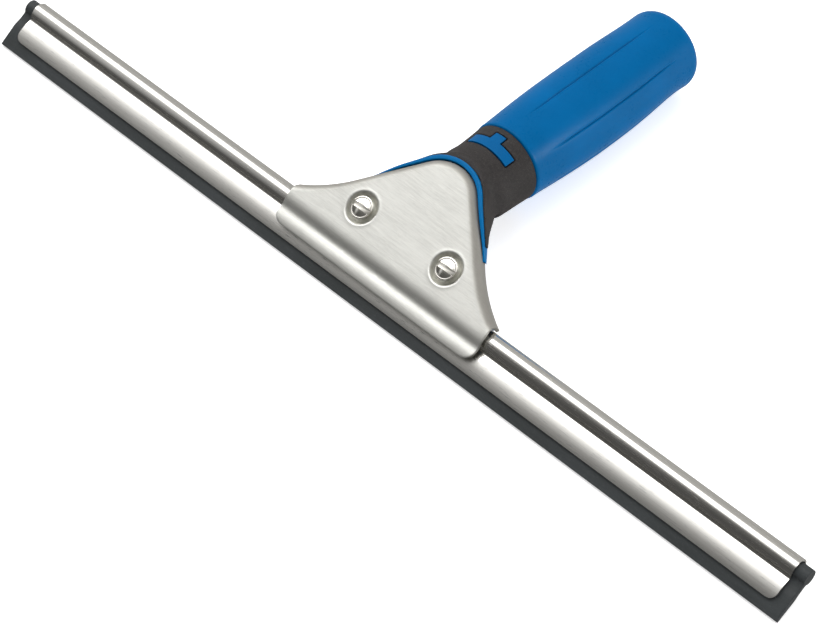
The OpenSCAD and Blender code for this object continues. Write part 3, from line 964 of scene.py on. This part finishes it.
def neck_field(p):
    x, y, z = p[:, 0], p[:, 1], p[:, 2]
    s, r, phi = axis_coords(p)
    # collar: slightly tapered cylinder that ends at s = -0.05 with a rounded lip
    R = np.interp(s, [-30, -16, -11, -6, -2, 0], [12.6, 13.7, 13.96, 14.16, 14.38, 14.42])
    cyl = r - R
    cyl = smax(cyl, s + 0.12, 0.5)
    cyl = smax(cyl, -s - 17, 3.0)
    # head pad around the rim: nearly flush with it, shallow at its two ends
    w = 0.35 + rim_width(y) + np.interp(y, [38, 40.2, 42, 44, 48, 52, 58, 62], [-0.9, -0.4, 0.35, 0.5, 0.55, 0.6, 1.0, 1.6])
    d = -inside(x, y) - w
    zt = rim_top(y) - np.interp(y, [38, 42, 52, 58, 64], [0.9, 1.1, 1.1, 1.3, 3.5])
    zb = np.interp(y, [38, 42, 45, 47, 50, 54, 60, 66], [-0.6, -0.8, -1.2, -2.6, -5.6, -9.5, -15, -19])
    pad = smax(d * 0.9, smax(z - zt, zb - z, 0.8), 1.0)
    pad = smax(pad, 37.9 - y, 0.4)
    pad = smax(pad, y - 64, 3.0)
    f = smin(cyl, pad, np.interp(y, [43, 50, 56], [1.0, 5.0, 6.5]))
    f = smax(f, s + 0.12, 0.4)
    # seats: plate and rim, core below
    seat = np.maximum(-inside(x, y) - 0.35 - rim_width(y) - 0.03, -1.35 - z)
    f = smax(f, -seat, 0.2)
    f = np.maximum(f, inside(x, y) + np.where(z < -5.6, -50, 0) + 0.15)
    f = smax(f, 37.95 - y, 0.3)
    # hollow for the core stem
    f = np.maximum(f, 11.2 - r - np.where(s < -4.5, (-4.5 - s) * 2.0, 0))
    # groove around the inlay
    g = inlay_distance(phi, s)
    groove = np.maximum(g - 0.5, 12.8 - r)
    front = np.cos(phi) > 0.5
    f = np.where(front & (r > 12), smax(f, -groove, 0.12), f)
    return f


def neck():
    P, F = surface_nets(neck_field, (-31, 36.5, -34.5), (31, 82, 7.5), 0.38)
    return new_obj("neck_grip", P, F, NECK, 60)


def inlay():
    # patch on the neck, thickened outwards, edges rounded
    k = 14.0 * DEG
    poly = inlay_poly()
    b = []
    n = len(poly)
    for i in range(n):
        p, q = np.array(poly[i]), np.array(poly[(i + 1) % n])
        ln = math.hypot((q[0] - p[0]) * k, q[1] - p[1])
        m = max(1, int(ln / 0.5))
        for j in range(m):
            b.append(((p + (q - p) * j / m) * [k, 1]))
    b = np.array(b)
    pts = [(u, s) for u in np.arange(-9.4, 9.4, 0.5) for s in np.arange(-10.3, -3.2, 0.5)]
    pts = [p for p in pts if in_poly(np.array([p]), b)[0] and np.min(np.hypot(b[:, 0] - p[0], b[:, 1] - p[1])) > 0.3]
    v, f = cdt([b], pts, [], [])
    R = np.interp(v[:, 1], [-11, -6, -2], [13.98, 14.18, 14.4]) + 0.06
    P = stem(R, v[:, 0] / k * DEG, v[:, 1])
    P = P.reshape(-1, 3)
    o = new_obj("neck_inlay_bar", P, f, INLAY, 60)
    bm = bmesh.new()
    bm.from_mesh(o.data)
    bmesh.ops.recalc_face_normals(bm, faces=bm.faces)
    out = ROT @ Vector(AX_M)
    if sum((q.normal.dot(out) for q in bm.faces)) < 0:
        bmesh.ops.reverse_faces(bm, faces=bm.faces)
    bm.to_mesh(o.data)
    bm.free()
    m = o.modifiers.new("solid", "SOLIDIFY")
    m.thickness = 0.00098
    m.offset = -1
    m.use_even_offset = True
    apply_mods(o, 50)
    return bevel(o, 0.14, 3, 50, 60)


# ------------------------------------------------------------------ core: rim, tongue, stem with socket
def core_rim():
    """Raised rim that frames the plate, a rounded bar that thins out toward its two ends."""
    half = upper_outline(0.35, 41.4, 0.5)
    half = half[half[:, 1] > 37.3]
    path = np.concatenate([half, (half[:-1] * [-1, 1])[::-1]])
    n = len(path)
    tan = np.gradient(path, axis=0)
    tan /= np.linalg.norm(tan, axis=1)[:, None]
    nrm = np.stack([tan[:, 1], -tan[:, 0]], 1)
    top = rim_top(path[:, 1])
    wid = rim_width(path[:, 1])
    V = []
    m = 0
    for i in range(n):
        t = top[i]
        e = min(1.0, min(i, n - 1 - i) / 4.0 + 0.15)
        w = wid[i] * (0.3 + 0.7 * math.sqrt(e))
        sec = [(w, -0.65)]
        for q in np.linspace(0, math.pi / 2, 7):
            sec.append((w - 0.42 + 0.42 * math.cos(q), t - 0.42 + 0.42 * math.sin(q)))
        for q in np.linspace(math.pi / 2, math.pi, 7):
            sec.append((0.34 + 0.34 * math.cos(q), t - 0.34 + 0.34 * math.sin(q)))
        sec.append((0.0, -0.65))
        m = len(sec)
        for o, z in sec:
            q = path[i] + nrm[i] * o
            V.append((q[0], q[1], z))
    F = grid_faces(n, m, wrap_m=True)
    F += [tuple(range(m)), tuple((n - 1) * m + k for k in range(m))]
    return new_obj("core_rim", V, F, CORE, 45)


def core_tongue():
    """Flat head between the jaws and the floor that the rim stands on."""
    def slab(name, loop, z0, z1, bev):
        n = len(loop)
        V = [(p[0], p[1], z0) for p in loop] + [(p[0], p[1], z1) for p in loop]
        F = [tuple(reversed(range(n))), tuple(range(n, 2 * n))] + [(i, (i + 1) % n, n + (i + 1) % n, n + i) for i in range(n)]
        return bevel(new_obj(name, V, F, CORE_IN, 40), bev, 2, 40, 50)
    h = upper_outline(-2.55, 41.4, 1.0)
    h = h[h[:, 1] > 21.4]
    loop = [(h[0][0], 21.4)] + [tuple(p) for p in h]
    loop = loop + [(-p[0], p[1]) for p in reversed(loop[:-1])]
    a = slab("tongue", loop, -5.25, 4.75, 0.3)
    for s in (-1, 1):
        fn = at_screw(s)
        boolean(a, lathe("c1", [(0.0, -9), (2.85, -9), (2.85, 9), (0.0, 9)][1:3], CORE_IN, fn, 40))
        boolean(a, lathe("c2", [(8.0, 2.4), (8.0, 9)], CORE_IN, fn, 64))
    g = upper_outline(-0.25, 41.4, 1.0)
    g = g[g[:, 1] > 37.9]
    g[:, 0] -= np.clip(44 - g[:, 1], 0, 9) * 0.30
    loop = [(g[0][0], 37.9)] + [tuple(p) for p in g]
    loop = loop + [(-p[0], p[1]) for p in reversed(loop[:-1])]
    b = slab("floor", loop, -5.28, -0.75, 0.2)
    g = upper_outline(1.5, 41.4, 1.0)
    g = g[g[:, 1] > 38.2]
    g[:, 0] -= np.clip(46 - g[:, 1], 0, 9) * 0.19
    loop = [(g[0][0], 38.2)] + [tuple(p) for p in g]
    loop = loop + [(-p[0], p[1]) for p in reversed(loop[:-1])]
    c = slab("shelf", loop, -1.1, -0.6, 0.12)
    return join("core_head", [a, b, c])


def core_stem():
    prof = rounded([(10.5, 27), (10.5, 84.0), (12.0, 85.95), (12.42, 85.95), (12.42, 1.0), (11.0, -0.5), (10.6, -3.6), (9.2, -5.4), (0.01, -5.6)],
                   [0, 0.2, 0.3, 0.3, 0.4, 0.4, 1, 1, 0], 4)
    floor = [(0.01, 26.0), (9.7, 26.0), (10.3, 26.3)]
    prof = np.concatenate([np.array(floor), prof])
    o = lathe("core_stem", prof, CORE_IN, stem, 128, 40)
    return o


# ------------------------------------------------------------------ grip sleeve
def grip():
    L = 86.0
    key_s = [0, 4, 10, 16, 22, 28, 34, 40, 46, 52, 58, 64, 70, 76, 79, 82, 84]
    key_r = [14.84, 14.98, 15.32, 15.68, 15.97, 16.15, 16.26, 16.29, 16.29, 16.19, 16.02, 15.75, 15.43, 15.19, 15.22, 15.38, 15.42]
    ss = [0.0, 0.0, 0.1, 0.3, 0.6, 1.0]
    rr = [13.2, 14.1, 14.42, 14.66, 14.8, 14.88]
    body_s = np.concatenate([np.linspace(1.6, 78, 150), np.linspace(78.6, 81.7, 8)])
    k = np.polyfit(key_s, key_r, 9)
    body_r = np.polyval(k, body_s)
    ss = np.concatenate([ss, body_s])
    rr = np.concatenate([rr, body_r])
    a = np.linspace(0, 90, 14)[1:] * DEG
    end_r = body_r[-1]
    ss = np.concatenate([ss, 81.7 + 4.1 * np.sin(a)])
    rr = np.concatenate([rr, end_r - 2.7 * (1 - np.cos(a))])
    ss = np.concatenate([ss, [L - 0.2, L - 0.35]])
    rr = np.concatenate([rr, [12.62, 12.48]])
    # angles, denser near the creases
    cre = np.array([-2.0, 55, -55, 110, -110, 178])
    base = np.arange(0, 360, 2.0)
    extra = np.concatenate([c + np.array([-3.2, -2.6, -2.1, -1.7, -1.35, -1.05, -0.8, -0.55, -0.3, 0, 0.3, 0.55, 0.8, 1.05, 1.35, 1.7, 2.1, 2.6, 3.2]) for c in cre])
    keep = [b for b in base if np.min(np.abs((b - cre + 180) % 360 - 180)) > 3.6]
    ang = np.sort(np.concatenate([keep, extra % 360]))
    S, A = np.meshgrid(ss, ang, indexing="ij")
    Rm = np.repeat(rr[:, None], len(ang), 1)
    fade = smoothstep(8, 20, S) * smoothstep(78, 62, S)
    for c in cre:
        da = ((A - c + 180) % 360 - 180) * DEG * 16
        Rm = Rm - fade * (0.50 * np.exp(-(da / 0.30) ** 2) + 0.10 * np.exp(-(da / 1.2) ** 2))
    phi = A * DEG
    shift = np.interp(S, [0, 16, 34, 46, 52, 64, 70, 76, 85, 87], [0, -0.32, -0.6, -0.52, -0.42, 0.06, 0.25, 0.34, 0.0, 0])
    P = AX_O + S[..., None] * AX_H + (Rm * np.cos(phi) + shift)[..., None] * AX_M + (Rm * np.sin(phi))[..., None] * AX_X
    # inner wall, back to the collar
    inn_s = [L - 0.6, L - 20, 40, 20, 0.0]
    Pi = []
    for s in inn_s:
        Pi.append(AX_O + s * AX_H + 12.44 * np.cos(ang * DEG)[:, None] * AX_M + 12.44 * np.sin(ang * DEG)[:, None] * AX_X)
    n = len(ang)
    V = np.concatenate([P.reshape(-1, 3), np.array(Pi).reshape(-1, 3)])
    rows = len(ss) + len(inn_s)
    F = grid_faces(rows, n, wrap_n=True, wrap_m=True)
    o = new_obj("grip_sleeve_soft", V, F, GRIP, 60)
    return o


# ------------------------------------------------------------------ build and attach
def attach(o, body, nodes):
    for n in nodes:
        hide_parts(n)
    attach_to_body(o, body)


attach(rubber(), "rubber", ["rubber_blade"])
attach(channel(), "channel", ["blade_channel"])
attach(front_plate(), "front_jaw", ["front_jaw"])
attach(rear_plate(), "handle", ["rear_jaw"])
attach(screw(-1, "clamp_screw_left"), "left_screw", ["left_clamp_screw"])
attach(screw(1, "clamp_screw_right"), "right_screw", ["right_clamp_screw"])
attach(nut(-1, "clamp_nut_left"), "handle", ["left_clamp_nut"])
attach(nut(1, "clamp_nut_right"), "handle", ["right_clamp_nut"])
attach(core_rim(), "handle", ["handle_core"])
attach(core_tongue(), "handle", [])
attach(core_stem(), "handle", [])
attach(neck(), "handle", ["neck_overmould"])
attach(inlay(), "handle", ["neck_inlay"])
grip_o = grip()
attach(grip_o, "handle", ["grip_sleeve"])

# ------------------------------------------------------------------ floor, lights
fm = Mat("floor_white", Roughness=0.75)
fm.b.inputs["Emission Color"].default_value = (1, 1, 1, 1)
fm.b.inputs["Emission Strength"].default_value = 0.58
fn1 = fm.noise(fm.scaled(3, 3, 3), 1.0, 3, 0.5)
fm.to("Base Color", fm.mix(fm.rng(fn1, 0.3, 0.7), (0.93, 0.93, 0.93), (0.95, 0.95, 0.95)))
fme = bpy.data.meshes.new("floor")
fme.from_pydata([(-14, -14, 0), (14, -14, 0), (14, 14, 0), (-14, 14, 0)], [], [(0, 1, 2, 3)])
floor = bpy.data.objects.new("floor", fme)
bpy.context.scene.collection.objects.link(floor)
fme.materials.append(fm.m)

floor.visible_glossy = False

world = bpy.data.worlds.new("studio")
bpy.context.scene.world = world
world.use_nodes = True
wt = world.node_tree
bg = wt.nodes["Background"]
bg.inputs["Strength"].default_value = 1.0
wc = wt.nodes.new("ShaderNodeTexCoord")
ws = wt.nodes.new("ShaderNodeSeparateXYZ")
wt.links.new(wc.outputs["Generated"], ws.inputs[0])


def wmath(op, *v):
    n = wt.nodes.new("ShaderNodeMath")
    n.operation = op
    for i, q in enumerate(v):
        if isinstance(q, (int, float)):
            n.inputs[i].default_value = q
        else:
            wt.links.new(q, n.inputs[i])
    return n.outputs[0]


# soft studio: one wide box overhead, grey wall behind, dark room in front
wx = wt.nodes.new("ShaderNodeMapRange")
wx.interpolation_type = "SMOOTHSTEP"
wt.links.new(ws.outputs[0], wx.inputs["Value"])
wx.inputs["From Min"].default_value = 0.22
wx.inputs["From Max"].default_value = -0.12
omega = wmath("ARCTAN2", ws.outputs[1], ws.outputs[2])
t = wmath("ADD", wmath("MULTIPLY", omega, 0.5 / math.pi), 0.5)
ramp = wt.nodes.new("ShaderNodeValToRGB")
ramp.color_ramp.interpolation = "LINEAR"
STOPS = [(-180, 0.20), (-140, 0.10), (-80, 0.08), (-48, 0.11), (-38, 0.17), (-31, 0.22), (-23, 0.40), (0, 0.46), (20, 0.50), (30, 0.50), (60, 0.47), (110, 0.44), (150, 0.38), (180, 0.20)]
BOX = [(-180, 0), (-27, 0.0), (-21, 0.14), (-14, 0.5), (-8, 0.9), (-3, 1.0), (12, 1.0), (19, 0.4), (27, 0.0), (180, 0)]


def fill_ramp(node, stops, tint=(1, 1, 1)):
    r = node.color_ramp
    while len(r.elements) < len(stops):
        r.elements.new(0.5)
    for e, (deg, v) in zip(r.elements, stops):
        e.position = deg / 360 + 0.5
        e.color = (v * tint[0], v * tint[1], v * tint[2], 1)
    wt.links.new(t, node.inputs[0])


fill_ramp(ramp, STOPS, (1.0, 0.985, 0.955))
box = wt.nodes.new("ShaderNodeValToRGB")
fill_ramp(box, BOX)
# pale panel low on the right, behind the handle
pd = Vector((0.80, 0.60, 0.02)).normalized()
dot = wmath("ADD", wmath("ADD", wmath("MULTIPLY", ws.outputs[0], pd.x), wmath("MULTIPLY", ws.outputs[1], pd.y)), wmath("MULTIPLY", ws.outputs[2], pd.z))
pm = wt.nodes.new("ShaderNodeMapRange")
pm.interpolation_type = "SMOOTHSTEP"
wt.links.new(dot, pm.inputs["Value"])
pm.inputs["From Min"].default_value = 0.86
pm.inputs["From Max"].default_value = 0.97
pm.inputs["To Max"].default_value = 1.4
extra = wmath("ADD", wmath("MULTIPLY", wmath("MULTIPLY", box.outputs[0], wx.outputs[0]), 3.0), pm.outputs[0])
# pale wall low in front, on the left only
wl = wt.nodes.new("ShaderNodeMapRange")
wl.interpolation_type = "SMOOTHSTEP"
wt.links.new(ws.outputs[0], wl.inputs["Value"])
wl.inputs["From Min"].default_value = -0.43
wl.inputs["From Max"].default_value = -0.56
low = wt.nodes.new("ShaderNodeValToRGB")
fill_ramp(low, [(-180, 0), (-88, 0.0), (-66, 0.24), (-50, 0.44), (-38, 0.50), (-30, 0.36), (-24, 0.16), (-18, 0.0), (180, 0)])
wl2 = wt.nodes.new("ShaderNodeMapRange")
wl2.interpolation_type = "SMOOTHSTEP"
wt.links.new(ws.outputs[0], wl2.inputs["Value"])
wl2.inputs["From Min"].default_value = -0.67
wl2.inputs["From Max"].default_value = -0.59
extra = wmath("ADD", extra, wmath("MULTIPLY", wmath("MULTIPLY", low.outputs[0], wl.outputs[0]), wl2.outputs[0]))
vm = wt.nodes.new("ShaderNodeVectorMath")
vm.operation = "ADD"
wt.links.new(ramp.outputs[0], vm.inputs[0])
wt.links.new(extra, vm.inputs[1])
wt.links.new(vm.outputs[0], bg.inputs["Color"])


def area(name, loc, target, size, power, color=(1, 1, 1)):
    d = bpy.data.lights.new(name, "AREA")
    d.shape = "RECTANGLE"
    d.size, d.size_y = size
    d.energy = power
    d.color = color
    o = bpy.data.objects.new(name, d)
    bpy.context.scene.collection.objects.link(o)
    o.location = loc
    o.rotation_euler = (Vector(target) - Vector(loc)).to_track_quat("-Z", "Y").to_euler()
    return o


# small soft lamp, low on the right, that only the grip mirrors
nv = (np.cos(50 * DEG) * AX_M + np.sin(50 * DEG) * AX_X) * np.cos(7.5 * DEG) - np.sin(7.5 * DEG) * AX_H
gp = AX_O + 14 * AX_H + 15.6 * nv
vv = np.array([448.67, -14.47, 896.82]) - gp
vv /= np.linalg.norm(vv)
away = W([gp + 1200 * (2 * (nv @ vv) * nv - vv)])[0]
strip = area("strip_right", tuple(away), tuple(W([gp])[0]), (0.10, 0.26), 10.5)
strip.visible_diffuse = False
takers = bpy.data.collections.new("strip_takers")
takers.objects.link(grip_o)
strip.light_linking.receiver_collection = takers

for lamp in (area("fill_top", (-0.4, 0.3, 2.0), (0, 0, 0), (3.6, 3.6), 24), area("fill_right", (1.6, -0.5, 1.3), (0, 0, 0), (2.0, 2.0), 9)):
    lamp.visible_glossy = False

bpy.context.scene.view_settings.view_transform = "Standard"
bpy.context.scene.view_settings.look = "None"
